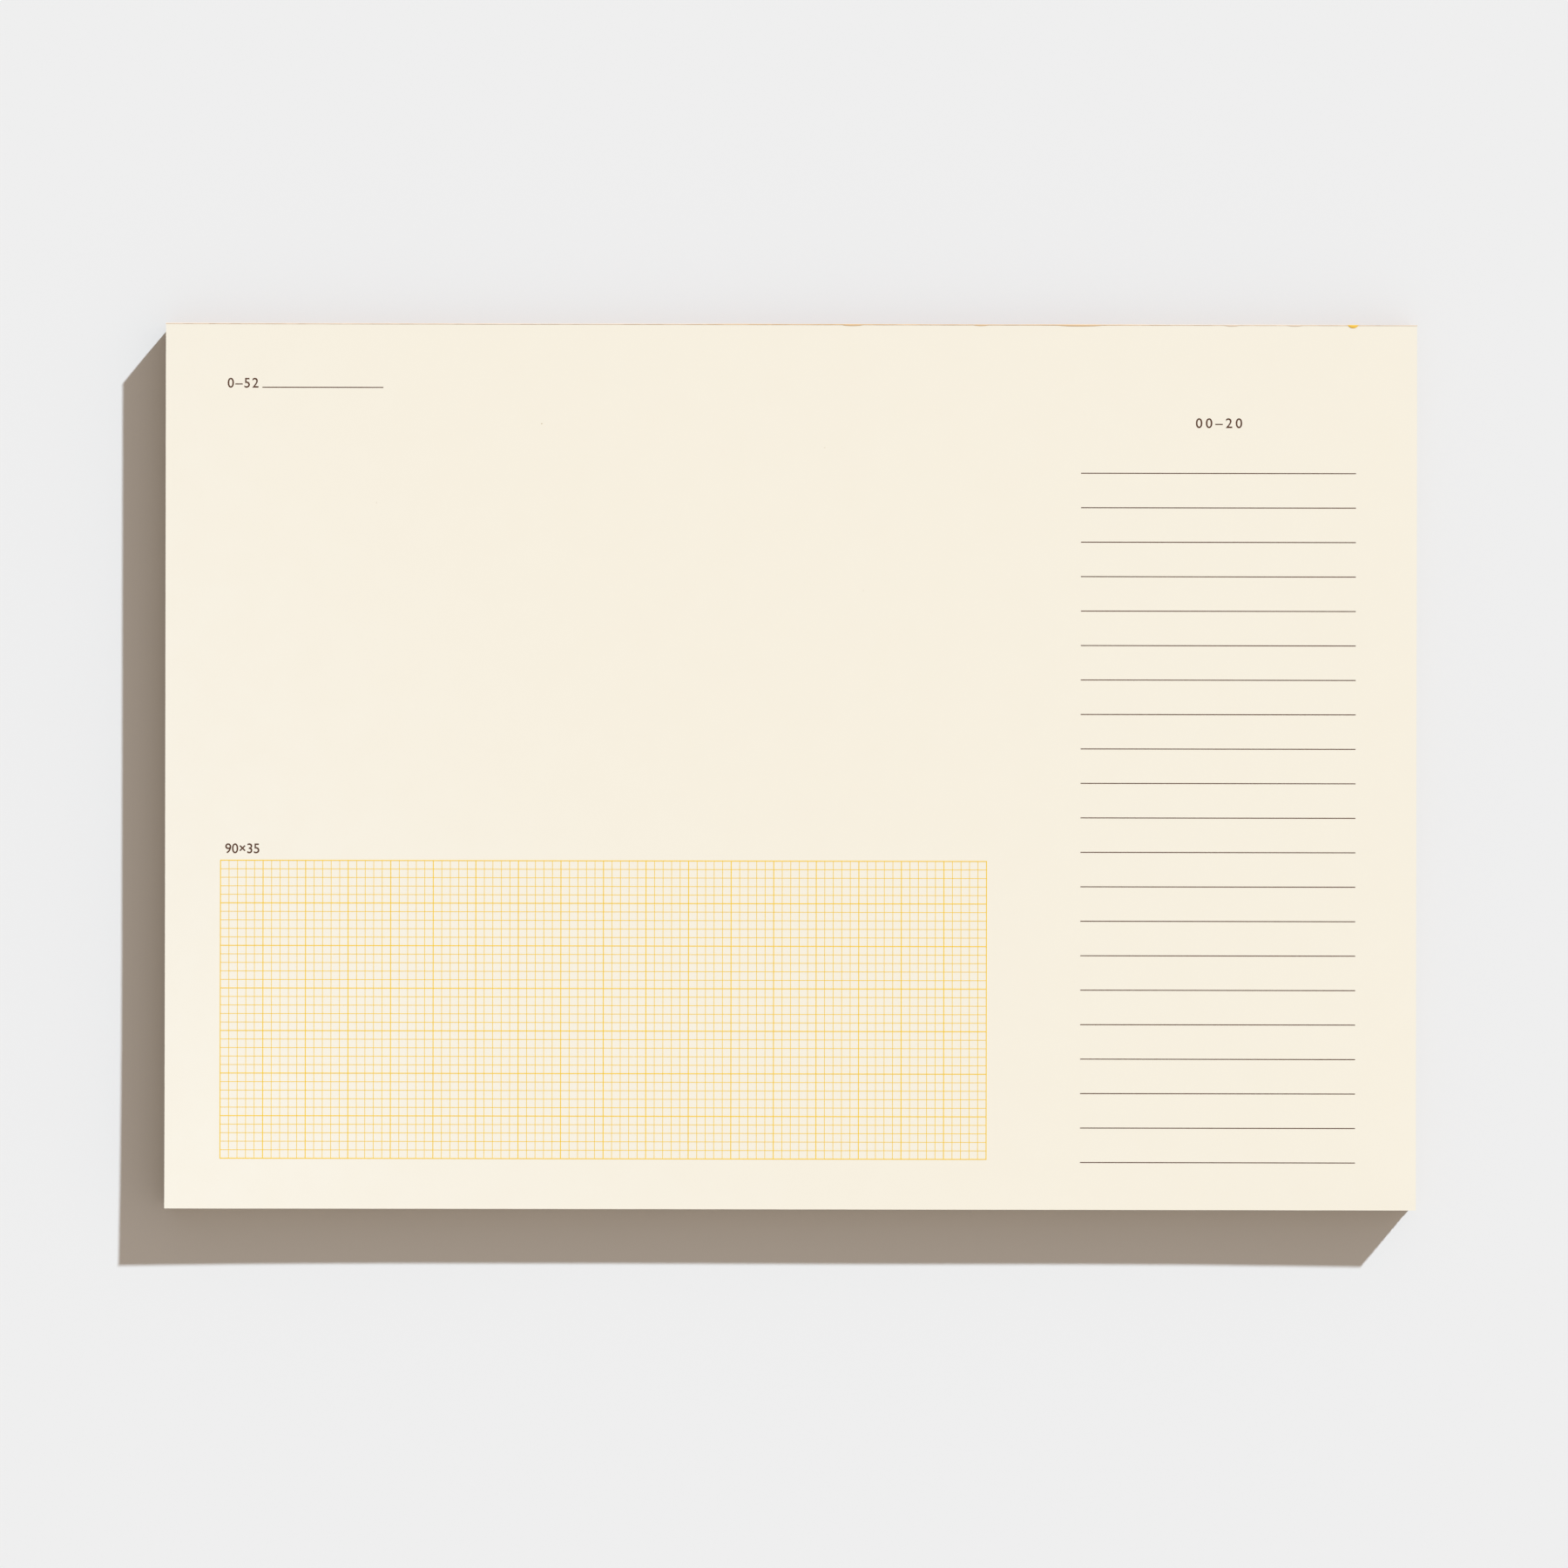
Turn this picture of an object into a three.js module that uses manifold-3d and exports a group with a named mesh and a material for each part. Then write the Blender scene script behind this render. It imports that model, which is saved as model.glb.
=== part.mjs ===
// Landscape desk notepad: a block of cream leaves on a greyboard, glued along its top long edge
// (+Y), with the top leaf printed in two inks. Millimetres, +Z up. The pad lies on its board with
// the origin in the middle of its footprint, and the reader sits on the -Y side.

import * as THREE from "three";
import { mergeVertices } from "three/addons/utils/BufferGeometryUtils.js";
import Module from "manifold-3d";

const wasm = await Module();
wasm.setup();

// Sheet and stack
const SHEET_WIDTH = 297;
const SHEET_HEIGHT = 210;
const LEAF_COUNT = 52;
const LEAF_THICKNESS = 0.13;
const BOARD_THICKNESS = 1.2;
const TRIM_STEP_WIDTH = 0.01; // a leaf's edge lies a whole number of these steps inside the trim line
const TRIM_STEP_PAIRS = 6; // twice this many places for an edge

// Padding compound on the glued edge
const GLUE_RIM = 0.25; // film at the foot and the head of the stack
const GLUE_CROWN = 0.4; // film at mid height
const GLUE_BEAD = 0.08; // rise of the film above the top leaf, along its edge
const GLUE_LAP_THICKNESS = 0.05;

// Ink films on the top leaf
const INK_THICKNESS = 0.02;
const RULE_WIDTH = 0.18;
const GRID_HEAVY_WIDTH = 0.18;
const GRID_FINE_WIDTH = 0.1;

// Ruled list at the right, measured from the right, top and bottom edges of the sheet
const LIST_RIGHT_MARGIN = 14.5;
const LIST_RULE_LENGTH = 65.2;
const LIST_FIRST_RULE = 35.1;
const LIST_LEAST_BOTTOM_MARGIN = 10;
const LIST_PITCH = 8.18;

// Short rule at the upper left, measured from the left and top edges
const DATE_LEFT_MARGIN = 22.95;
const DATE_LENGTH = 28.65;
const DATE_DROP = 15.03;

// Graph grid at the lower left
const GRID_CELL = 2.02;
const GRID_CELLS_PER_SQUARE = 5;
const GRID_SQUARES_DOWN = 7;
const GRID_LEFT_MARGIN = 13.2;
const GRID_BOTTOM_MARGIN = 12;
const GRID_LEAST_GAP_TO_LIST = 20;

// Drops of glue that lap over the edge of the top leaf: the distance of each one's middle from the
// right-hand edge of the sheet, its width along the edge and its reach over the leaf
const GLUE_LAPS = [
  { fromRight: 15.2, width: 2.1, reach: 0.62 },
  { fromRight: 29, width: 3.2, reach: 0.2 },
  { fromRight: 44, width: 3.3, reach: 0.22 },
  { fromRight: 80, width: 10.4, reach: 0.26 },
  { fromRight: 103.5, width: 3.2, reach: 0.2 },
  { fromRight: 134, width: 4.8, reach: 0.24 },
];

// Working values of the geometry
const CUT_CLEARANCE = 1; // cutting solids run this far past what they cut
const WELD = 1e-5;
const FILM_FACETS = 8;
const LAP_FACETS = 12;
const GOLDEN_RATIO = (1 + Math.sqrt(5)) / 2;

// Planes of the pad
const left = -SHEET_WIDTH / 2;
const right = SHEET_WIDTH / 2;
const front = -(SHEET_HEIGHT + GLUE_CROWN) / 2;
const spine = front + SHEET_HEIGHT;
const top = leafLevel(LEAF_COUNT);

const paper = new THREE.MeshStandardMaterial({ color: 0xf8f1e1, roughness: 0.9, metalness: 0 });
const greyboard = new THREE.MeshStandardMaterial({ color: 0xa39b8e, roughness: 0.95, metalness: 0 });
const compound = new THREE.MeshStandardMaterial({ color: 0xf2c256, roughness: 0.4, metalness: 0 });
const brownInk = new THREE.MeshStandardMaterial({ color: 0x533929, roughness: 0.7, metalness: 0 });
const yellowInk = new THREE.MeshStandardMaterial({ color: 0xf5cd5a, roughness: 0.7, metalness: 0 });

const pad = new THREE.Group();

function addPiece(name, geometry, material) {
  const piece = new THREE.Mesh(geometry, material);
  piece.name = name;
  pad.add(piece);
}

// A box whose faces lie exactly on the given planes, so that neighbours share them
function slab(x0, x1, y0, y1, z0, z1) {
  const box = new THREE.BoxGeometry(1, 1, 1);
  const corners = box.attributes.position;
  for (let i = 0; i < corners.count; i += 1) {
    const x = corners.getX(i) < 0 ? x0 : x1;
    const y = corners.getY(i) < 0 ? y0 : y1;
    const z = corners.getZ(i) < 0 ? z0 : z1;
    corners.setXYZ(i, x, y, z);
  }
  return box;
}

// A closed geometry as a solid that can be joined, and back
function toSolid(geometry) {
  const bare = geometry.clone();
  bare.deleteAttribute("normal");
  bare.deleteAttribute("uv");
  const merged = mergeVertices(bare, WELD);
  return new wasm.Manifold(
    new wasm.Mesh({
      numProp: 3,
      vertProperties: new Float32Array(merged.attributes.position.array),
      triVerts: new Uint32Array(merged.index.array),
    }),
  );
}

function toGeometry(solid) {
  const mesh = solid.getMesh();
  const geometry = new THREE.BufferGeometry();
  geometry.setAttribute("position", new THREE.BufferAttribute(mesh.vertProperties, 3));
  geometry.setIndex(new THREE.BufferAttribute(mesh.triVerts, 1));
  geometry.computeVertexNormals();
  return geometry;
}

// The height of the stack after a number of leaves
function leafLevel(leaves) {
  return BOARD_THICKNESS + leaves * LEAF_THICKNESS;
}

// How far inside the trim line a leaf's edge lies: the knife drags each leaf a little, so the
// three cut sides of the block show the leaves as ridges. Even and odd leaves take even and odd
// steps, so that no two neighbours lie flush.
function trimOffset(leaf, side) {
  const scatter = ((leaf + 1) * (side + 1) * GOLDEN_RATIO) % 1;
  return (2 * Math.floor(scatter * TRIM_STEP_PAIRS) + (leaf % 2)) * TRIM_STEP_WIDTH;
}

// The leaves lie face to face, so the stack is one solid. They are stacked past the spine and cut
// off there in one go, which leaves that side flat for the glue.
function makeLeafBlock() {
  const waste = CUT_CLEARANCE;
  let stack = null;
  for (let leaf = 0; leaf < LEAF_COUNT; leaf += 1) {
    const leafLeft = left + trimOffset(leaf, 0);
    const leafRight = right - trimOffset(leaf, 1);
    const leafFront = front + trimOffset(leaf, 2);
    const sheet = slab(leafLeft, leafRight, leafFront, spine + waste, leafLevel(leaf), leafLevel(leaf + 1));
    stack = stack ? stack.add(toSolid(sheet)) : toSolid(sheet);
  }
  const offcut = slab(left - waste, right + waste, spine, spine + 2 * waste, -waste, top + waste);
  return toGeometry(stack.subtract(toSolid(offcut)));
}

// A crowned film over the glued edge of the board and the leaves, joined to its laps
function makeGlueBinding() {
  const section = new THREE.Shape();
  section.moveTo(0, 0);
  section.lineTo(GLUE_RIM, 0);
  section.quadraticCurveTo(2 * GLUE_CROWN - GLUE_RIM, top / 2, GLUE_RIM, top);
  section.lineTo(GLUE_RIM / 2, top + GLUE_BEAD);
  section.lineTo(0, top + GLUE_BEAD);
  const film = new THREE.ExtrudeGeometry(section, {
    depth: SHEET_WIDTH,
    bevelEnabled: false,
    curveSegments: FILM_FACETS,
  });
  // the section's first axis turns to +Y, its second to +Z, and the extrusion runs along +X
  film.applyMatrix4(
    new THREE.Matrix4().makeBasis(
      new THREE.Vector3(0, 1, 0),
      new THREE.Vector3(0, 0, 1),
      new THREE.Vector3(1, 0, 0),
    ),
  );
  film.translate(left, spine, 0);

  let binding = toSolid(film);
  for (const lap of GLUE_LAPS) {
    const drop = new THREE.Shape();
    drop.absellipse(0, 0, lap.width / 2, lap.reach, Math.PI, 2 * Math.PI);
    drop.lineTo(lap.width / 2, GLUE_RIM / 2);
    drop.lineTo(-lap.width / 2, GLUE_RIM / 2);
    const flake = new THREE.ExtrudeGeometry(drop, {
      depth: GLUE_LAP_THICKNESS,
      bevelEnabled: false,
      curveSegments: LAP_FACETS,
    });
    flake.translate(right - lap.fromRight, spine, top);
    binding = binding.add(toSolid(flake));
  }
  return toGeometry(binding);
}

// Parallel strokes in one film of ink: the outer lines of the other way tie their ends together,
// so the film is one closed ladder, a plate with a window between each two strokes
function makeLadder(strokes, ties, under, strokesAlongX) {
  const place = (along, across, z0, z1) =>
    strokesAlongX ? slab(...along, ...across, z0, z1) : slab(...across, ...along, z0, z1);
  const length = [ties[0].from, ties.at(-1).to];
  const opening = [ties[0].to, ties.at(-1).from];
  let film = toSolid(place(length, [strokes[0].from, strokes.at(-1).to], under, under + INK_THICKNESS));
  for (let gap = 0; gap + 1 < strokes.length; gap += 1) {
    const gapAcross = [strokes[gap].to, strokes[gap + 1].from];
    const window = place(opening, gapAcross, under - CUT_CLEARANCE, under + CUT_CLEARANCE);
    film = film.subtract(toSolid(window));
  }
  return toGeometry(film);
}

// The lines across one way of the grid, heavy at every fifth one
function gridStrokes(start, squares) {
  const strokes = [];
  for (let line = 0; line <= squares * GRID_CELLS_PER_SQUARE; line += 1) {
    const width = line % GRID_CELLS_PER_SQUARE === 0 ? GRID_HEAVY_WIDTH : GRID_FINE_WIDTH;
    const middle = start + line * GRID_CELL;
    strokes.push({ from: middle - width / 2, to: middle + width / 2 });
  }
  return strokes;
}

function addRule(name, x0, x1, y) {
  addPiece(name, slab(x0, x1, y - RULE_WIDTH / 2, y + RULE_WIDTH / 2, top, top + INK_THICKNESS), brownInk);
}

addPiece("backing_board", slab(left, right, front, spine, 0, BOARD_THICKNESS), greyboard);
addPiece("leaf_block", makeLeafBlock(), paper);
addPiece("glue_binding", makeGlueBinding(), compound);

// Graph grid: the upright lines are one film of ink and the level lines cross it as a second film
const listLeft = right - LIST_RIGHT_MARGIN - LIST_RULE_LENGTH;
const gridLeft = left + GRID_LEFT_MARGIN;
const gridBottom = front + GRID_BOTTOM_MARGIN;
const square = GRID_CELL * GRID_CELLS_PER_SQUARE;
const squaresAcross = Math.floor((listLeft - GRID_LEAST_GAP_TO_LIST - gridLeft) / square);
const upright = gridStrokes(gridLeft, squaresAcross);
const level = gridStrokes(gridBottom, GRID_SQUARES_DOWN);
addPiece("grid_lines_down", makeLadder(upright, level, top, false), yellowInk);
addPiece("grid_lines_across", makeLadder(level, upright, top + INK_THICKNESS, true), yellowInk);

// Short rule for the date
const dateLeft = left + DATE_LEFT_MARGIN;
addRule("date_rule", dateLeft, dateLeft + DATE_LENGTH, spine - DATE_DROP);

// Ruled list: as many rules as fit between the first one and the bottom margin
const listHeight = SHEET_HEIGHT - LIST_FIRST_RULE - LIST_LEAST_BOTTOM_MARGIN;
const ruleCount = 1 + Math.floor(listHeight / LIST_PITCH);
for (let rule = 0; rule < ruleCount; rule += 1) {
  const name = `list_rule_${String(rule + 1).padStart(2, "0")}`;
  addRule(name, listLeft, listLeft + LIST_RULE_LENGTH, spine - LIST_FIRST_RULE - rule * LIST_PITCH);
}

export default pad;
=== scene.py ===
# %% [markdown]
# # A landscape desk notepad
# The object is a pad of cream leaves, glued along its top long edge and backed with greyboard. Its
# top leaf is printed in brown and yellow. Seen from above it is almost nothing but a flat sheet, so
# its character sits in small things: hair-thin lines, the leaves' cut edges, the line of glue. We
# load the measured solids first. Every piece below takes its place from them, so nothing has to be
# fitted by eye.

# %% Load the measured solids
import math
import bpy
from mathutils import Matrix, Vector, noise


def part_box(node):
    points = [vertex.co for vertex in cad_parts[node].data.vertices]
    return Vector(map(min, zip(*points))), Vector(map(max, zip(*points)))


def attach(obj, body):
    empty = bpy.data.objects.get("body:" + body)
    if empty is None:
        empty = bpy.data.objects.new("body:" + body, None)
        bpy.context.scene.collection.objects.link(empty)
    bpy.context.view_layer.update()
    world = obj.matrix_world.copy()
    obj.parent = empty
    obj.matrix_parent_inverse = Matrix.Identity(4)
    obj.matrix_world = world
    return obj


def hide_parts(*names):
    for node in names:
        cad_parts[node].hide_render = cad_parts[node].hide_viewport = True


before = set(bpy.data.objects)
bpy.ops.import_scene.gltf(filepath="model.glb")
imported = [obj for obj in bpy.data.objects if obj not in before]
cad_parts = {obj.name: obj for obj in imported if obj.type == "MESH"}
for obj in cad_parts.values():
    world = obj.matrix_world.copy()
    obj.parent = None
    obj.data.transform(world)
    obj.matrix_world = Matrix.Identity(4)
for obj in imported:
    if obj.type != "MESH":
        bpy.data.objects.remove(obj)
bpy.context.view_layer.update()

MM = 0.001
board_low, board_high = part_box("backing_board")

LEFT, RIGHT = board_low.x, board_high.x
FRONT, SPINE = board_low.y, board_high.y
BOARD_TOP = board_high.z
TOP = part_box("leaf_block")[1].z
print(f"sheet {(RIGHT - LEFT) / MM:.1f} x {(SPINE - FRONT) / MM:.1f} mm")
print(f"top leaf at {TOP / MM:.2f} mm")

# %% [markdown]
# ## How a piece is put into the scene
# Each piece is built as plain lists of points and faces in metres, in the pad's own frame. One
# helper turns them into a mesh object, gives it its finish and lets it ride on the pad. Modelling
# with primitives and modifiers would also work, but lists keep every point on a formula that can
# be read, and the result is the same on each run.

# %% A mesh piece that rides on the pad
SHARP_TURN = math.radians(35)


def add_piece(name, points, faces, finish, stands_for=()):
    """Makes the mesh object `name`, shaded smooth apart from its sharp edges."""
    mesh = bpy.data.meshes.new(name)
    mesh.from_pydata(points, [], faces)
    mesh.validate()
    mesh.shade_smooth()
    mesh.set_sharp_from_angle(angle=SHARP_TURN)
    mesh.materials.append(finish)
    piece = bpy.data.objects.new(name, mesh)
    bpy.context.scene.collection.objects.link(piece)
    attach(piece, "root")
    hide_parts(*stands_for)
    print(f"{name}: {len(mesh.vertices)} points, {len(mesh.polygons)} faces")
    return piece


# %% [markdown]
# ## Shader sums that read like sums
# A finish is a small calculation: noise in, colour and bump out. Wired by hand, such a calculation
# is hard to follow, so `Signal` wraps a socket and lets ordinary operators add the Math nodes.
# `Finish` holds the node tree, and its one method `node` makes every other kind of node.

# %% Signal: a socket that takes part in arithmetic
class Signal:
    """The output socket of a node, used as a number in an expression."""

    def __init__(self, finish, socket):
        self.finish = finish
        self.socket = socket

    def combine(self, operation, first, second):
        return self.finish.node("ShaderNodeMath", {"operation": operation}, {0: first, 1: second})

    def __add__(self, other):
        return self.combine("ADD", self, other)

    def __radd__(self, other):
        return self.combine("ADD", other, self)

    def __sub__(self, other):
        return self.combine("SUBTRACT", self, other)

    def __rsub__(self, other):
        return self.combine("SUBTRACT", other, self)

    def __mul__(self, other):
        return self.combine("MULTIPLY", self, other)

    def __rmul__(self, other):
        return self.combine("MULTIPLY", other, self)

    def __truediv__(self, other):
        return self.combine("DIVIDE", self, other)

    def __rtruediv__(self, other):
        return self.combine("DIVIDE", other, self)


# %% Finish: a material or a world, and its nodes
class Finish:
    """The node tree of a material or a world, built from calls to `node`."""

    def __init__(self, owner):
        self.owner = owner
        owner.use_nodes = True
        self.tree = owner.node_tree
        self.tree.nodes.clear()

    def node(self, kind, settings=None, inputs=None, output=0):
        """Adds a node: its settings first, then the values or links of its sockets."""
        made = self.tree.nodes.new(kind)
        for key, value in (settings or {}).items():
            setattr(made, key, value)
        for key, value in (inputs or {}).items():
            socket = find_socket(made.inputs, key)
            if isinstance(value, Signal):
                self.tree.links.new(value.socket, socket)
            else:
                socket.default_value = value
        if made.outputs:
            return Signal(self, find_socket(made.outputs, output))
        return None

    def surface(self, inputs):
        """Closes the tree with one Principled shader."""
        shader = self.node("ShaderNodeBsdfPrincipled", None, inputs)
        self.node("ShaderNodeOutputMaterial", None, {"Surface": shader})
        print(f"{self.owner.name}: a finish of {len(self.tree.nodes)} nodes")
        return self.owner


def find_socket(sockets, key):
    """A socket by its number, its identifier or its name."""
    if isinstance(key, int):
        return sockets[key]
    for socket in sockets:
        if socket.identifier == key:
            return socket
    return sockets[key]


# %% A named finish, and colours for it
def new_finish(name):
    return Finish(bpy.data.materials.new(name))


def srgb(red, green, blue):
    """A colour as read off a print, 0 to 255, as the linear values that a shader takes."""
    linear = []
    for channel in (red, green, blue):
        share = channel / 255
        linear.append(share / 12.92 if share <= 0.04045 else ((share + 0.055) / 1.055) ** 2.4)
    return (*linear, 1.0)


print(f"a printed grey of 128 is {srgb(128, 128, 128)[0]:.3f} to a shader")


# %% Noise, steps and mixes
def place(finish):
    """Points of the piece in metres, in the pad's frame."""
    return finish.node("ShaderNodeTexCoord", None, None, "Object")


def grain(finish, where, size, detail, roughness=0.5):
    """Noise from 0 to 1 with features of about `size` metres."""
    inputs = {"Vector": where, "Scale": 1 / size, "Detail": detail, "Roughness": roughness}
    return finish.node("ShaderNodeTexNoise", None, inputs, "Fac")


def split(finish, vector):
    """The three parts of a vector."""
    return [finish.node("ShaderNodeSeparateXYZ", None, {"Vector": vector}, axis) for axis in "XYZ"]


def size_of(finish, value):
    """A number without its sign."""
    return finish.node("ShaderNodeMath", {"operation": "ABSOLUTE"}, {0: value})


def stretch(finish, where, by):
    """The same points with each axis scaled, which draws noise out into streaks."""
    return finish.node("ShaderNodeVectorMath", {"operation": "MULTIPLY"}, {0: where, 1: by})


def blend_colours(finish, share, first, second):
    """`first` where the share is 0 and `second` where it is 1."""
    inputs = {"Factor_Float": share, "A_Color": first, "B_Color": second}
    return finish.node("ShaderNodeMix", {"data_type": "RGBA"}, inputs, "Result_Color")


def step_between(finish, value, low, high):
    """A soft step: 0 below `low`, 1 above `high`."""
    settings = {"interpolation_type": "SMOOTHSTEP"}
    inputs = {"Value": value, "From Min": low, "From Max": high}
    return finish.node("ShaderNodeMapRange", settings, inputs, "Result")


def bump(finish, height, depth, strength):
    """The direction of a surface that rises by up to `depth` metres."""
    inputs = {"Height": height, "Distance": depth, "Strength": strength}
    return finish.node("ShaderNodeBump", None, inputs, "Normal")


# %% [markdown]
# ## Cream paper
# The leaves are uncoated writing paper: matt, warm, and so even that from a metre away a sheet
# looks like one flat colour. Up close it isn't. The pulp lies a little thicker and thinner in soft
# clouds, and short fibres leave a fine tooth. Both are noise here. The clouds move the colour by
# about one part in a hundred, and the tooth goes into the bump, so the sheet stays calm from far
# off. Towards its near left corner the sheet is painted a shade paler, which is painted light. The
# cut edges are painted darker, which is painted shade for the light that gets lost in the gaps, and
# no two leaves catch that light in the same way: there the painted shade follows noise drawn out
# along the leaves into fine bands.

# %% Cream paper
PAPER = srgb(248, 241, 225)
PAPER_CLOUD = srgb(246, 238, 221)
# The paler cream is painted light, laid towards the sheet's near left corner.
PAPER_PAINTED_LIGHT = srgb(250, 245, 233)
# A darker cream, painted shade on the cut edges.
PAPER_CUT_SHADE = srgb(204, 192, 170)
CLOUD = 9 * MM
FIBRE, FIBRE_DRAW = 0.5 * MM, (1.0, 2.6, 1.0)
TOOTH, TOOTH_DEPTH = 0.16 * MM, 0.012 * MM
BAND, BAND_DRAW = 0.3 * MM, (0.008, 0.008, 1.0)
LEAST_BAND_SHADE = 0.45
CORNER_ACROSS, CORNER_ALONG = 0.7, 0.3
CORNER_STEP, SIDE_STEP, BAND_STEP = (0.5, 1.05), (0.3, 0.7), (0.35, 0.65)


def make_paper():
    finish = new_finish("cream_paper")
    where = place(finish)
    clouds = grain(finish, where, CLOUD, 3.0)
    fibres = grain(finish, stretch(finish, where, FIBRE_DRAW), FIBRE, 4.0, 0.65)
    tooth = grain(finish, where, TOOTH, 2.0)
    across, along, _ = split(finish, where)
    across_share = across / (RIGHT - LEFT) * CORNER_ACROSS
    along_share = along / (SPINE - FRONT) * CORNER_ALONG
    # Painted light: towards the near left corner the sheet is painted paler, as if more light fell
    # there.
    pale = step_between(finish, 0.5 - across_share - along_share, *CORNER_STEP)
    sheet = blend_colours(finish, pale, PAPER, PAPER_PAINTED_LIGHT)
    cloudy = blend_colours(finish, clouds * 0.5 + fibres * 0.2, sheet, PAPER_CLOUD)
    direction = finish.node("ShaderNodeTexCoord", None, None, "Normal")
    level = size_of(finish, split(finish, direction)[2])
    # Painted shade: the faces that look sideways, the cut edges, get the darker cream in bands that
    # differ from leaf to leaf.
    cut = 1 - step_between(finish, level, *SIDE_STEP)
    bands = grain(finish, stretch(finish, where, BAND_DRAW), BAND, 3.0, 0.75)
    banded_shade = LEAST_BAND_SHADE + step_between(finish, bands, *BAND_STEP) * (1 - LEAST_BAND_SHADE)
    return finish.surface(
        {
            "Base Color": blend_colours(finish, banded_shade * cut, cloudy, PAPER_CUT_SHADE),
            "Roughness": 0.86 + fibres * 0.1,
            "Specular IOR Level": 0.1,
            "Normal": bump(finish, fibres * 0.7 + tooth * 0.3, TOOTH_DEPTH, 0.5),
        }
    )


paper = make_paper()

# %% [markdown]
# ## How the top leaves lie
# A pressed stack is flat, but the last few leaves of a pad never lie quite still. Their two free
# corners, at the front, stand off by a few tenths of a millimetre. One function gives that rise at
# any place on the sheet, and the printed lines and the specks on the top leaf use it too, so their
# ink never floats or sinks. The captions lie where the leaf doesn't rise. The glued edge doesn't
# move.

# %% The rise of the top leaf
CURL_REACH = 75 * MM
CURLS = ((LEFT, 0.42 * MM), (RIGHT, 0.3 * MM))
BOW = 0.07 * MM
BOW_DEPTH = 30 * MM
BOW_LENGTH = 60 * MM


def rise(x, y):
    """How far the top leaf stands off the pressed stack at a place on the sheet."""
    total = 0.0
    for corner, height in CURLS:
        away = math.hypot(x - corner, y - FRONT) / CURL_REACH
        total += height * max(0.0, 1.0 - away) ** 2
    edge = max(0.0, 1.0 - (y - FRONT) / BOW_DEPTH)
    wave = 0.5 + 0.5 * noise.noise(Vector((x / BOW_LENGTH, 0.0, 0.0)))
    return total + BOW * wave * edge ** 2


print(f"corners stand off by {rise(LEFT, FRONT) / MM:.2f} and {rise(RIGHT, FRONT) / MM:.2f} mm")

# %% [markdown]
# ## The block of leaves
# The side of a pad shows its leaves as fine ridges, because the knife drags each one a little. They
# could be painted on with a striped bump, but the edge of the block would then stay a straight
# line. Here the block is one closed skin instead: for each leaf an outline at its foot, one at its
# head, and one drawn inwards for the hairline gap to the next leaf. The skin is closed by a plain
# face below, and above by a sheet of cells that follows `rise`.

# %% How the knife left each leaf
LEAVES = 52
LEAF = (TOP - BOARD_TOP) / LEAVES
GAP = 0.018 * MM
GAP_DEPTH = 0.25 * MM
GAP_ORDER = 3
LEAST_GAP, WIDE_GAPS = 0.6, 2.8
TRIM = 0.12 * MM
LOOSE_LEAVES = 9
LOOSE_POWER = 1.4
GOLDEN_RATIO = (1 + math.sqrt(5)) / 2
print(f"{LEAVES} leaves of {LEAF / MM:.2f} mm")


def trim_offset(leaf, side):
    """How far inside the trim line the knife left one side of a leaf."""
    return ((leaf + 1) * (side + 1) * GOLDEN_RATIO) % 1 * TRIM


def gap_below(leaf):
    """The hairline gap under a leaf: mostly narrow, now and then a wide one."""
    return GAP * (LEAST_GAP + WIDE_GAPS * (leaf * GAP_ORDER * GOLDEN_RATIO % 1) ** 4)


def looseness(leaf):
    """The share of the top leaf's rise that a leaf takes part in."""
    return max(0.0, 1.0 - (LEAVES - 1 - leaf) / LOOSE_LEAVES) ** LOOSE_POWER


# %% Outlines of the leaves
RAGGED = 0.02 * MM
RAGGED_LENGTH = 7 * MM
RAGGED_ROW = 1.7
CELLS_X, CELLS_Y = 74, 52
FRONT_SIDE, RIGHT_SIDE, SPINE_SIDE, LEFT_SIDE = range(4)


def walk_round(corners, cells_x, cells_y):
    """Steps round four corners, anticlockwise from the front: each place and the side it is on."""
    for side, count in enumerate((cells_x, cells_y, cells_x, cells_y)):
        start, end = corners[side], corners[(side + 1) % 4]
        for step in range(count):
            along = step / count
            x = start[0] + (end[0] - start[0]) * along
            y = start[1] + (end[1] - start[1]) * along
            yield side, x, y


def leaf_outline(leaf, inset, height, share):
    """The ragged edge of a leaf at one height, with its share of the rise."""
    left = LEFT + trim_offset(leaf, 0) + inset
    right = RIGHT - trim_offset(leaf, 1) - inset
    front = FRONT + trim_offset(leaf, 2) + inset
    corners = [(left, front), (right, front), (right, SPINE), (left, SPINE)]
    points = []
    for side, x, y in walk_round(corners, CELLS_X, CELLS_Y):
        sample = Vector((x / RAGGED_LENGTH, y / RAGGED_LENGTH, leaf * RAGGED_ROW))
        nick = noise.noise(sample) * RAGGED
        if side == FRONT_SIDE:
            y += nick
        elif side != SPINE_SIDE:
            x += nick if side == RIGHT_SIDE else -nick
        points.append((x, y, height + share * rise(x, y)))
    return points


# %% Skins from outlines
def join_outlines(points, outlines):
    """Adds outlines to a list of points and returns the bands of faces between them."""
    faces = []
    start = len(points)
    count = len(outlines[0])
    for ring in outlines:
        points.extend(ring)
    for band in range(len(outlines) - 1):
        for step in range(count):
            following = (step + 1) % count
            low, high = start + band * count, start + (band + 1) * count
            faces.append((low + step, low + following, high + following, high + step))
    return faces


def sweep(points, outlines):
    """Joins outlines and puts a face over the first and the last, for one closed body."""
    first, count = len(points), len(outlines[0])
    faces = join_outlines(points, outlines)
    faces.append(tuple(reversed(range(first, first + count))))
    faces.append(tuple(range(len(points) - count, len(points))))
    return faces


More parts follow.
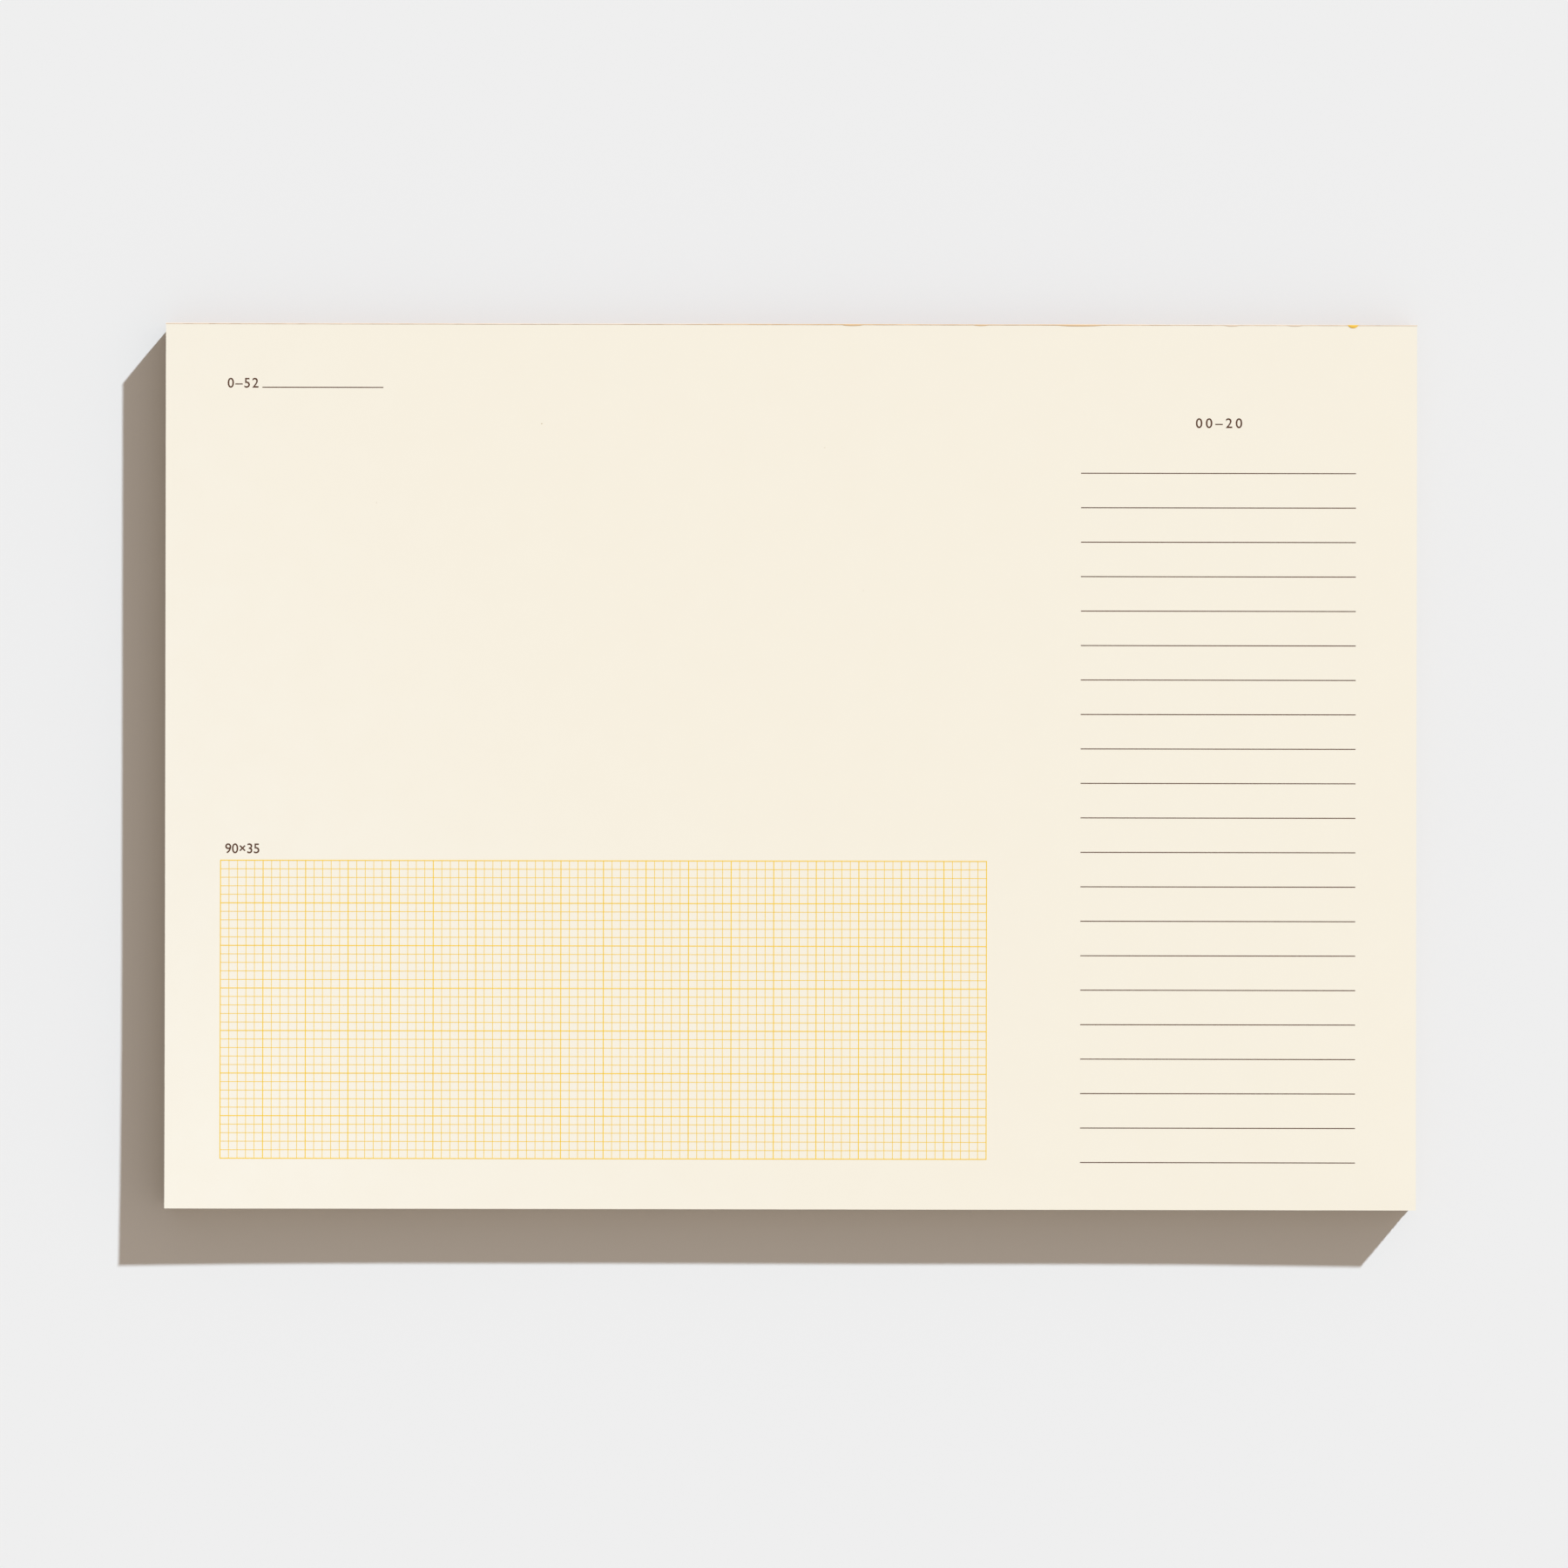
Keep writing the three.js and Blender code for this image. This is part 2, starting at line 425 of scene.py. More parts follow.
# %% The sheet of cells on top
def sheet_cells(points, ring_start):
    """Fills the last outline with cells; its border points are the outline's own."""
    number_at = {}
    for i in range(CELLS_X + 1):
        number_at[i, 0] = ring_start + i
        number_at[i, CELLS_Y] = ring_start + 2 * CELLS_X + CELLS_Y - i
    for j in range(1, CELLS_Y):
        number_at[CELLS_X, j] = ring_start + CELLS_X + j
        number_at[0, j] = ring_start + 2 * (CELLS_X + CELLS_Y) - j
    for i in range(1, CELLS_X):
        for j in range(1, CELLS_Y):
            near, far = points[number_at[0, j]], points[number_at[CELLS_X, j]]
            low, high = points[number_at[i, 0]], points[number_at[i, CELLS_Y]]
            x = near[0] + (far[0] - near[0]) * i / CELLS_X
            y = low[1] + (high[1] - low[1]) * j / CELLS_Y
            number_at[i, j] = len(points)
            points.append((x, y, TOP + rise(x, y)))
    faces = []
    for i in range(CELLS_X):
        for j in range(CELLS_Y):
            corners = (i, j), (i + 1, j), (i + 1, j + 1), (i, j + 1)
            faces.append([number_at[corner] for corner in corners])
    return faces


# %% The block of leaves
def make_leaf_stack():
    outlines = []
    for leaf in range(LEAVES):
        foot, head = BOARD_TOP + leaf * LEAF, BOARD_TOP + (leaf + 1) * LEAF
        below, share = looseness(leaf - 1), looseness(leaf)
        if leaf:
            outlines.append(leaf_outline(leaf, GAP_DEPTH, foot, (below + share) / 2))
            foot += gap_below(leaf) / 2
        if leaf < LEAVES - 1:
            head -= gap_below(leaf + 1) / 2
        outlines.append(leaf_outline(leaf, 0.0, foot, share))
        outlines.append(leaf_outline(leaf, 0.0, head, share))
    points = []
    faces = join_outlines(points, outlines)
    count = len(outlines[0])
    faces.append(tuple(reversed(range(count))))
    faces += sheet_cells(points, len(points) - count)
    return add_piece("leaf_stack", points, faces, paper, ["leaf_block"])


make_leaf_stack()

# %% [markdown]
# ## Greyboard
# The backing is pressed from waste paper: a warm grey with darker and lighter flecks of pulp, and
# the same all through, so its cut edge shows the flecks as well. A printed or wrapped board would
# need a skin. This one doesn't, so a single finish of cloudy grey, flecks and a felt-like bump does
# for all its sides.

# %% Greyboard finish
GREY, GREY_CLOUD = srgb(180, 172, 158), srgb(146, 138, 125)
DARK_FLECK, PALE_FLECK = srgb(96, 88, 78), srgb(205, 198, 184)
PULP = 6 * MM
FELT, FELT_DRAW, FELT_DEPTH = 0.45 * MM, (1.0, 1.8, 1.0), 0.03 * MM
FLECK, FLECK_STEP = 1.2 * MM, (0.58, 0.68)
SLIVER, SLIVER_DRAW, SLIVER_STEP = 1.8 * MM, (1.0, 2.5, 1.0), (0.6, 0.68)


def make_greyboard():
    finish = new_finish("greyboard")
    where = place(finish)
    clouds = grain(finish, where, PULP, 4.0, 0.6)
    felt = grain(finish, stretch(finish, where, FELT_DRAW), FELT, 5.0, 0.7)
    flecks = step_between(finish, grain(finish, where, FLECK, 2.0), *FLECK_STEP)
    slivers = grain(finish, stretch(finish, where, SLIVER_DRAW), SLIVER, 2.0)
    pale = step_between(finish, slivers, *SLIVER_STEP)
    base = blend_colours(finish, clouds * 0.6 + felt * 0.4, GREY, GREY_CLOUD)
    flecked = blend_colours(finish, flecks * 0.5, base, DARK_FLECK)
    return finish.surface(
        {
            "Base Color": blend_colours(finish, pale * 0.5, flecked, PALE_FLECK),
            "Roughness": 0.9 + felt * 0.08,
            "Specular IOR Level": 0.25,
            "Normal": bump(finish, felt, FELT_DEPTH, 0.6),
        }
    )


greyboard = make_greyboard()

# %% [markdown]
# ## The backing board
# The board is cut in the same stroke as the leaves, so its outline is theirs. Its underside has a
# narrow bruised arris, where it has slid over desks, and its edge is slightly furred. It is built
# in the same way as the leaves, from outlines that step out, up and in again.

# %% The backing board
ARRIS = 0.1 * MM
ROUNDING = 0.3
FUR = 0.02 * MM
FUR_LENGTH = 2.5 * MM
BOARD_CELLS_X, BOARD_CELLS_Y = 120, 84
BOARD_STEPS = (
    (ARRIS, 0.0),
    (ARRIS * ROUNDING, ARRIS * ROUNDING),
    (0.0, ARRIS),
    (0.0, BOARD_TOP * 0.4),
    (0.0, BOARD_TOP * 0.7),
    (0.0, BOARD_TOP - ARRIS * ROUNDING),
    (ARRIS * ROUNDING, BOARD_TOP),
)


def board_outline(inset, height):
    """The furred edge of the board at one height, drawn in by `inset`."""
    left, right, front = LEFT + inset, RIGHT - inset, FRONT + inset
    corners = [(left, front), (right, front), (right, SPINE), (left, SPINE)]
    points = []
    for side, x, y in walk_round(corners, BOARD_CELLS_X, BOARD_CELLS_Y):
        sample = Vector((x / FUR_LENGTH, y / FUR_LENGTH, height / FUR))
        fur = abs(noise.noise(sample)) * FUR
        if side == FRONT_SIDE:
            y += fur
        elif side != SPINE_SIDE:
            x += fur if side == LEFT_SIDE else -fur
        points.append((x, y, height))
    return points


def make_board():
    points = []
    faces = sweep(points, [board_outline(inset, height) for inset, height in BOARD_STEPS])
    return add_piece("board", points, faces, greyboard, ["backing_board"])


make_board()

# %% [markdown]
# ## Padding compound
# The leaves are held by a brushed-on film of soft amber glue with the sheen of rubber. On the back
# of the stack it is thick and amber, at the rim by the top leaf it thins to peach, and the brush
# leaves long streaks. A plain tinted film would look like tape. So the colour follows the height,
# noise drawn out along the edge, and a stretch right of the middle where the brush was full. The
# one full drop over the top leaf gets its own clear yellow.

# %% Padding compound finish
THIN_FILM, RIM_FILM = srgb(238, 218, 196), srgb(231, 192, 140)
BODY_FILM, DEEP_FILM = srgb(214, 166, 102), srgb(200, 142, 74)
DROP_FILM = srgb(250, 202, 78)
DROP_X = RIGHT - 15.2 * MM
DROP_SPREAD = 1.6 * MM
BRUSH_FULLER = (LEFT + 105 * MM, LEFT + 155 * MM)
BRUSH_EMPTIER = (LEFT + 205 * MM, LEFT + 245 * MM)
STREAK, STREAK_DRAW, STREAK_DEPTH = 0.9 * MM, (0.04, 1.0, 1.0), 0.05 * MM
POOL = 14 * MM
RIM_STEP, BODY_STEP = (0.28, 0.78), (0.2, 0.7)
BODY_DEPTH = (0.2 * MM, 2.6 * MM)
TOP_BAND = (TOP - 0.8 * MM, TOP - 0.2 * MM)


def make_compound():
    finish = new_finish("padding_compound")
    where = place(finish)
    streaks = grain(finish, stretch(finish, where, STREAK_DRAW), STREAK, 3.0, 0.6)
    pools = grain(finish, where, POOL, 2.0)
    across, _, up = split(finish, where)
    fuller = step_between(finish, across, *BRUSH_FULLER)
    emptier = step_between(finish, across, *BRUSH_EMPTIER)
    amount = pools * 0.35 + streaks * 0.35 + fuller * (1 - emptier) * 0.3
    rim = blend_colours(finish, step_between(finish, amount, *RIM_STEP), THIN_FILM, RIM_FILM)
    body = blend_colours(finish, step_between(finish, amount, *BODY_STEP), BODY_FILM, DEEP_FILM)
    film = blend_colours(finish, step_between(finish, TOP - up, *BODY_DEPTH), rim, body)
    from_drop = size_of(finish, across - DROP_X)
    drop = 1 - step_between(finish, from_drop, DROP_SPREAD * 0.6, DROP_SPREAD)
    at_top = step_between(finish, up, *TOP_BAND)
    return finish.surface(
        {
            "Base Color": blend_colours(finish, drop * at_top, film, DROP_FILM),
            "Roughness": 0.5 + streaks * 0.2,
            "Specular IOR Level": 0.4,
            "Normal": bump(finish, streaks, STREAK_DEPTH, 0.5),
        }
    )


compound = make_compound()

# %% [markdown]
# ## The glued edge
# The film is thickest at mid height and thins to the foot and the head of the stack, where a low
# bead stands over the top leaf. In places the brush has carried a little glue over the edge. All
# of that is one section whose numbers change along the pad: the film's thickness, and how far it
# laps over the leaf. Sweeping that section gives one closed body.

# %% How thick the glue lies, and where it laps over
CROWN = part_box("glue_binding")[1].y - SPINE
RIM = CROWN * 0.62
LEAST_FILM, MEAN_FILM = 0.3, 0.78
SLOW_LENGTH, SLOW_SHARE = 32 * MM, 0.3
FINE_LENGTH, FINE_HEIGHT, FINE_SHARE = 9 * MM, 0.9 * MM, 0.12
SLOW_ROW, FINE_ROW, LAP_ROW = 4.0, 8.0, 2.0
LEAST_LAP, LAP_WAVE = 0.03 * MM, 5 * MM
# The middle of each lap, its width along the edge and its depth over the leaf.
LAPS = (
    (DROP_X, 2.1 * MM, 0.62 * MM),
    (RIGHT - 29 * MM, 3.2 * MM, 0.2 * MM),
    (RIGHT - 44 * MM, 3.3 * MM, 0.22 * MM),
    (RIGHT - 80 * MM, 10.4 * MM, 0.26 * MM),
    (RIGHT - 103.5 * MM, 3.2 * MM, 0.2 * MM),
    (RIGHT - 134 * MM, 4.8 * MM, 0.24 * MM),
)


def film_share(x, z):
    """The film's thickness at a place as a share of the full film, with the brush's streaks."""
    slow = noise.noise(Vector((x / SLOW_LENGTH, SLOW_ROW, 0.0)))
    fine = noise.noise(Vector((x / FINE_LENGTH, z / FINE_HEIGHT, FINE_ROW)))
    return min(1.0, max(LEAST_FILM, MEAN_FILM + SLOW_SHARE * slow + FINE_SHARE * fine))


def lap_reach(x):
    """How far the glue laps over the top leaf."""
    reach = LEAST_LAP * (1 + noise.noise(Vector((x / LAP_WAVE, LAP_ROW, 0.0))))
    for middle, width, depth in LAPS:
        across = (x - middle) / (width / 2)
        if abs(across) < 1:
            reach = max(reach, depth * math.sqrt(1 - across * across))
    return reach


print(f"glue {RIM / MM:.2f} mm thick at the rim, {CROWN / MM:.2f} mm at mid height")

# %% The glued edge
BEAD = 0.07 * MM
LAP_EDGE = 0.014 * MM
LAP_CLEARANCE = 0.003 * MM
FULL_LAP = 0.3 * MM
GLUE_STEP = 0.4 * MM
SECTION_LEVELS = 9


def glue_section(x):
    """The film's outline at one place along the edge, from the inner foot outwards and up."""
    points = [(x, SPINE, 0.0)]
    for level in range(SECTION_LEVELS):
        z = TOP * level / (SECTION_LEVELS - 1)
        height = 2 * z / TOP - 1
        thickness = RIM + (CROWN - RIM) * (1 - height * height)
        points.append((x, SPINE + thickness * film_share(x, z), z))
    reach = lap_reach(x)
    fullness = min(1.0, reach / FULL_LAP)
    points.append((x, SPINE + RIM * 0.5, TOP + BEAD * (0.6 + 0.4 * fullness)))
    points.append((x, SPINE - reach * 0.5, TOP + BEAD * (0.35 + 0.5 * fullness)))
    points.append((x, SPINE - reach * 0.9, TOP + LAP_EDGE + BEAD * 0.4 * fullness))
    points.append((x, SPINE - reach, TOP + LAP_CLEARANCE))
    return points


def make_glue():
    steps = round((RIGHT - LEFT) / GLUE_STEP)
    places = [LEFT + (RIGHT - LEFT) * step / steps for step in range(steps + 1)]
    points = []
    faces = sweep(points, [glue_section(x) for x in places])
    return add_piece("glue_film", points, faces, compound, ["glue_binding"])


make_glue()

# %% [markdown]
# ## Two inks
# The print is offset, a dark brown and a yellow, and both sink into the uncoated sheet. Under a
# glass the colour breaks up along the fibres, so a line looks a little worn where the tooth of
# the paper wasn't reached. That break-up is noise finer than the line is wide.

# %% Ink finishes
WEAR = 0.5
MOTTLE, MOTTLE_DEPTH = 0.22 * MM, 0.004 * MM
DRIFT = 11 * MM
WORN_STEP = (0.38, 0.68)


def make_ink(name, full, worn, wear):
    finish = new_finish(name)
    where = place(finish)
    mottle = grain(finish, where, MOTTLE, 3.0, 0.7)
    drift = grain(finish, where, DRIFT, 2.0)
    share = step_between(finish, mottle * 0.75 + drift * 0.25, *WORN_STEP) * wear
    return finish.surface(
        {
            "Base Color": blend_colours(finish, share, full, worn),
            "Roughness": 0.72 + mottle * 0.2,
            "Specular IOR Level": 0.12,
            "Normal": bump(finish, mottle, MOTTLE_DEPTH, 0.4),
        }
    )


brown_ink = make_ink("brown_ink", srgb(84, 54, 38), srgb(122, 90, 72), WEAR)
yellow_ink = make_ink("yellow_ink", srgb(252, 208, 40), srgb(252, 216, 86), WEAR)

# %% [markdown]
# ## Printed lines
# Printed lines could be a texture on the top leaf, but a line two tenths of a millimetre wide needs
# more texels than any picture of the whole sheet holds. So each line is a strip of ink, a hundredth
# of a millimetre thick, cut into short lengths that follow the rise of the leaf below it. Its place
# and width come from the measured solid that it stands for, and then the ink spreads a little way
# into the uncoated sheet on every side, as it does on a press.

# %% A strip of ink on the top leaf
LENGTH_STEP = 4 * MM
INK_SPREAD = 0.02 * MM
RULE_INK = 0.012 * MM
DOWN_INK = 0.009 * MM
ACROSS_INK = 0.013 * MM


def ink_strip(points, faces, x_range, y_range, thickness):
    """Adds a closed strip of ink over a rectangle that is long one way and narrow the other."""
    x_range = (x_range[0] - INK_SPREAD, x_range[1] + INK_SPREAD)
    y_range = (y_range[0] - INK_SPREAD, y_range[1] + INK_SPREAD)
    along_x = x_range[1] - x_range[0] > y_range[1] - y_range[0]
    start, end = x_range if along_x else y_range
    side, far_side = y_range if along_x else x_range
    steps = max(1, round((end - start) / LENGTH_STEP))
    sections = []
    for step in range(steps + 1):
        at = start + (end - start) * step / steps
        corners = [(at, far_side), (at, side)] if along_x else [(side, at), (far_side, at)]
        (x0, y0), (x1, y1) = corners
        low, high = TOP + rise(x0, y0), TOP + rise(x1, y1)
        head = [(x0, y0, low + thickness), (x1, y1, high + thickness)]
        sections.append([(x0, y0, low), *head, (x1, y1, high)])
    faces += sweep(points, sections)


# %% The rules of the list and of the date
def box_ranges(node):
    """Where a solid lies across the pad and along it."""
    low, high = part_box(node)
    return (low.x, high.x), (low.y, high.y)


def make_rules(name, nodes):
    points, faces = [], []
    for node in nodes:
        ink_strip(points, faces, *box_ranges(node), RULE_INK)
    return add_piece(name, points, faces, brown_ink, nodes)


make_rules("list_rules", sorted(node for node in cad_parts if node.startswith("list_rule_")))
make_rules("date_line", ["date_rule"])

# %% [markdown]
# ## The graph grid
# The grid has a cell of about 2 mm and a heavier line at every fifth one. The solids hold it as
# two ladders of ink, the upright lines and the level lines. The scene draws the same lines at the
# same places. The level ones are a few thousandths of a millimetre thicker, so that where two lines
# cross, one lies cleanly over the other.

# %% The graph grid
CELLS_PER_SQUARE = 5
SQUARES_ACROSS, SQUARES_DOWN = 18, 7
HEAVY, FINE = 0.18 * MM, 0.1 * MM
grid_x, grid_y = box_ranges("grid_lines_down")


def grid_places(limits, squares):
    """The middle of each line between two outer lines, with its width."""
    low, high = limits[0] + HEAVY / 2, limits[1] - HEAVY / 2
    cells = squares * CELLS_PER_SQUARE
    for line in range(cells + 1):
        width = HEAVY if line % CELLS_PER_SQUARE == 0 else FINE
        yield low + (high - low) * line / cells, width


def make_grid():
    points, faces = [], []
    for x, width in grid_places(grid_x, SQUARES_ACROSS):
        ink_strip(points, faces, (x - width / 2, x + width / 2), grid_y, DOWN_INK)
    add_piece("grid_down", points, faces, yellow_ink, ["grid_lines_down"])
    points, faces = [], []
    for y, width in grid_places(grid_y, SQUARES_DOWN):
        ink_strip(points, faces, grid_x, (y - width / 2, y + width / 2), ACROSS_INK)
    add_piece("grid_across", points, faces, yellow_ink, ["grid_lines_across"])


make_grid()

# %% [markdown]
# ## Plain numbers over the fields
# Each of the three printed fields has a small caption in the brown ink. The pad carries plain
# numbers there: the weeks of a year, the rules counted from nought, the cells across and down.
# Blender's own text object has the right kind of plain sans figures. So we set the text, turn it
# into a mesh, stretch it to the width of the caption's place and give it the thickness of ink.

# %% Figures as a flat mesh
FIGURE_WEIGHT = 0.008
CURVE_STEPS = 6


def set_figures(name, text, spacing):
    """Sets a line of figures with Blender's own font and returns it as a flat mesh."""
    curve = bpy.data.curves.new(name + "_text", "FONT")
    curve.body = text
    curve.space_character = spacing
    curve.resolution_u = CURVE_STEPS
    curve.offset = FIGURE_WEIGHT
    typed = bpy.data.objects.new(name + "_text", curve)
    bpy.context.scene.collection.objects.link(typed)
    bpy.context.view_layer.update()
    evaluated = typed.evaluated_get(bpy.context.evaluated_depsgraph_get())
    flat = bpy.data.meshes.new_from_object(evaluated)
    bpy.data.objects.remove(typed)
    return flat


# %% Captions of plain numbers
CAPTION_INK = 0.012 * MM
FIGURE_HEIGHT = 2.3 * MM


def make_caption(name, text, left, width, baseline, spacing):
    """Gives a line of figures its place, its width and the thickness of ink."""
    flat = set_figures(name, text, spacing)
    xs = [vertex.co.x for vertex in flat.vertices]
    ys = [vertex.co.y for vertex in flat.vertices]
    scale_x = width / (max(xs) - min(xs))
    scale_y = FIGURE_HEIGHT / max(ys)
    print(f"{name}: figures stretched by {scale_x / scale_y:.3f} across")
    printed = [(left + (x - min(xs)) * scale_x, baseline + y * scale_y) for x, y in zip(xs, ys)]
    count = len(printed)
    points = [(x, y, TOP + height) for height in (0.0, CAPTION_INK) for x, y in printed]
    faces = []
    edges = {}
    for polygon in flat.polygons:
        loop = list(polygon.vertices)
        if polygon.normal.z < 0:
            loop.reverse()
        faces.append(tuple(number + count for number in loop))
        faces.append(tuple(reversed(loop)))
        for edge in zip(loop, loop[1:] + loop[:1]):
            edges[edge] = True
    for a, b in edges:
        if (b, a) not in edges:
            faces.append((a, b, b + count, a + count))
    bpy.data.meshes.remove(flat)
    return add_piece(name, points, faces, brown_ink)


# Name, figures, left edge, width, baseline and letter spacing.
CAPTIONS = (
    ("date_caption", "0–52", LEFT + 14.7 * MM, 7.3 * MM, SPINE - 15.1 * MM, 1.2),
    ("list_caption", "00–20", LEFT + 244.5 * MM, 11.0 * MM, SPINE - 24.3 * MM, 1.4),
    ("grid_caption", "90×35", LEFT + 14.3 * MM, 8.1 * MM, SPINE - 125.6 * MM, 1.0),
)
for caption in CAPTIONS:
    make_caption(*caption)

# %% [markdown]
# ## Specks
# A few specks lie in the sheet, bits of darker fibre that the paper was made with. They are small
# flat flakes with an uneven outline. Their places are given in pixels of the photograph, with the
# scale that turns them into millimetres from the sheet's corner.

# %% Specks
PHOTO_PIXELS = 1800
SHEET_PIXELS = 1436.5
SHEET_CORNER_PIXELS = (189.9, 374.0)
PIXEL = (RIGHT - LEFT) / SHEET_PIXELS
# Pixels across and down the photograph, and the radius.
SPECKS = (
    (621.5, 488.0, 0.17 * MM),
    (946.5, 515.0, 0.1 * MM),
    (432.0, 579.0, 0.1 * MM),
    (991.0, 679.0, 0.08 * MM),
)
SPECK_SIDES = 9
SPECK_INK = 0.008 * MM
UNEVEN, UNEVEN_STEP, UNEVEN_ROW = 0.5, 0.9, 3.1
FLATTENED = 0.7
speck = make_ink("speck", srgb(176, 150, 110), srgb(215, 196, 165), 1.0)


def speck_ring(number, middle_x, middle_y, radius, height):
    """The uneven outline of one speck at one height over the top leaf."""
    ring = []
    for side in range(SPECK_SIDES):
        turn = 2 * math.pi * side / SPECK_SIDES
        bulge = noise.noise(Vector((side * UNEVEN_STEP, number * UNEVEN_ROW, 0.0)))
        reach = radius * (1 + UNEVEN * bulge)
        x = middle_x + math.cos(turn) * reach
        y = middle_y + math.sin(turn) * reach * FLATTENED
        ring.append((x, y, TOP + rise(x, y) + height))
    return ring


def make_specks():
    points, faces = [], []
    for number, (pixel_x, pixel_y, radius) in enumerate(SPECKS):
        x = LEFT + (pixel_x - SHEET_CORNER_PIXELS[0]) * PIXEL
        y = SPINE - (pixel_y - SHEET_CORNER_PIXELS[1]) * PIXEL
        rings = [speck_ring(number, x, y, radius, height) for height in (0.0, SPECK_INK)]
        faces += sweep(points, rings)
    return add_piece("paper_specks", points, faces, speck)


make_specks()

# %% [markdown]
# ## Floor
# The pad lies on a plain pale floor, which only has to take its shadow, so it is matt and one
# light grey. Seen from below it is clear, and it is clear to light that starts in the hair of room
# under the pad, so that the underside of the board can be looked at too.

# %% Floor
FLOOR_GREY = srgb(239, 239, 239)
FLOOR_HALF = 6.0
FLOOR_CLEARANCE = 0.03 * MM
CONTACT = 1.5 * MM


def make_floor():
    finish = new_finish("floor")
    matt = finish.node("ShaderNodeBsdfDiffuse", None, {"Color": FLOOR_GREY})
    clear = finish.node("ShaderNodeBsdfTransparent")
    below = finish.node("ShaderNodeNewGeometry", None, None, "Backfacing")
    travelled = finish.node("ShaderNodeLightPath", None, None, "Ray Length")
    near = finish.node("ShaderNodeMath", {"operation": "LESS_THAN"}, {0: travelled, 1: CONTACT})
    unseen = finish.node("ShaderNodeMath", {"operation": "MAXIMUM"}, {0: below, 1: near})
    sided = finish.node("ShaderNodeMixShader", None, {0: unseen, 1: matt, 2: clear})
    finish.node("ShaderNodeOutputMaterial", None, {"Surface": sided})
    corners = [(-1, -1), (1, -1), (1, 1), (-1, 1)]
    points = [(x * FLOOR_HALF, y * FLOOR_HALF, -FLOOR_CLEARANCE) for x, y in corners]
    mesh = bpy.data.meshes.new("floor")
    mesh.from_pydata(points, [], [(0, 1, 2, 3)])
    mesh.materials.append(finish.owner)
    floor = bpy.data.objects.new("floor", mesh)
    bpy.context.scene.collection.objects.link(floor)
    print(f"floor {2 * FLOOR_HALF:.0f} m wide, {FLOOR_CLEARANCE / MM:.2f} mm below the pad")


make_floor()

# %% [markdown]
# ## Light
# The photograph has one strong light from the upper right and a warm fill from all round. Together
# they add up to 1 on a level surface, so a colour on the top leaf renders as it is written. The
# key is a sun lamp of a small angle, which gives the pad its long, fairly crisp shadow. The fill is
# the world. It is a little stronger from the right, so the shadow deepens beside the left edge, and
# stronger from low down than from overhead, which lights the cut edges. The second is measured from
# its mean over a level surface, so the top leaf keeps its tone.
#
# A key as low as this would bounce off the cut edges and leave a glow on the floor, which the
# photograph doesn't have, so it lights only what it strikes first. To the camera and in mirrors the
# world is as grey as the floor, or the pad would seem to lie in a brown room.

# %% Key and fill
KEY_HEADING = Vector((0.64, 0.768))
KEY_ELEVATION = math.radians(24)
KEY_ANGLE = math.radians(1.6)
FILL = (0.421, 0.355, 0.294)
FILL_LEAN = (0.5, 0.0, 0.0)
HORIZON = 0.6
LEVEL_MEAN = 2 / 3


def make_key():
    """A sun that adds to the fill so that together they give 1 on a level surface."""
    lamp = bpy.data.lights.new("key", "SUN")
    level = [1 - share for share in FILL]
    brightest = max(level)
    lamp.color = [share / brightest for share in level]
    lamp.energy = math.pi * brightest / math.sin(KEY_ELEVATION)
    lamp.angle = KEY_ANGLE
    lamp.cycles.max_bounces = 0
    key = bpy.data.objects.new("key", lamp)
    heading = KEY_HEADING.normalized() * math.cos(KEY_ELEVATION)
    towards = Vector((heading.x, heading.y, math.sin(KEY_ELEVATION)))
    key.rotation_euler = towards.to_track_quat("Z", "Y").to_euler()
    bpy.context.scene.collection.objects.link(key)
    print(f"key {lamp.energy:.2f} W/m2 from {math.degrees(KEY_ELEVATION):.0f} degrees up")


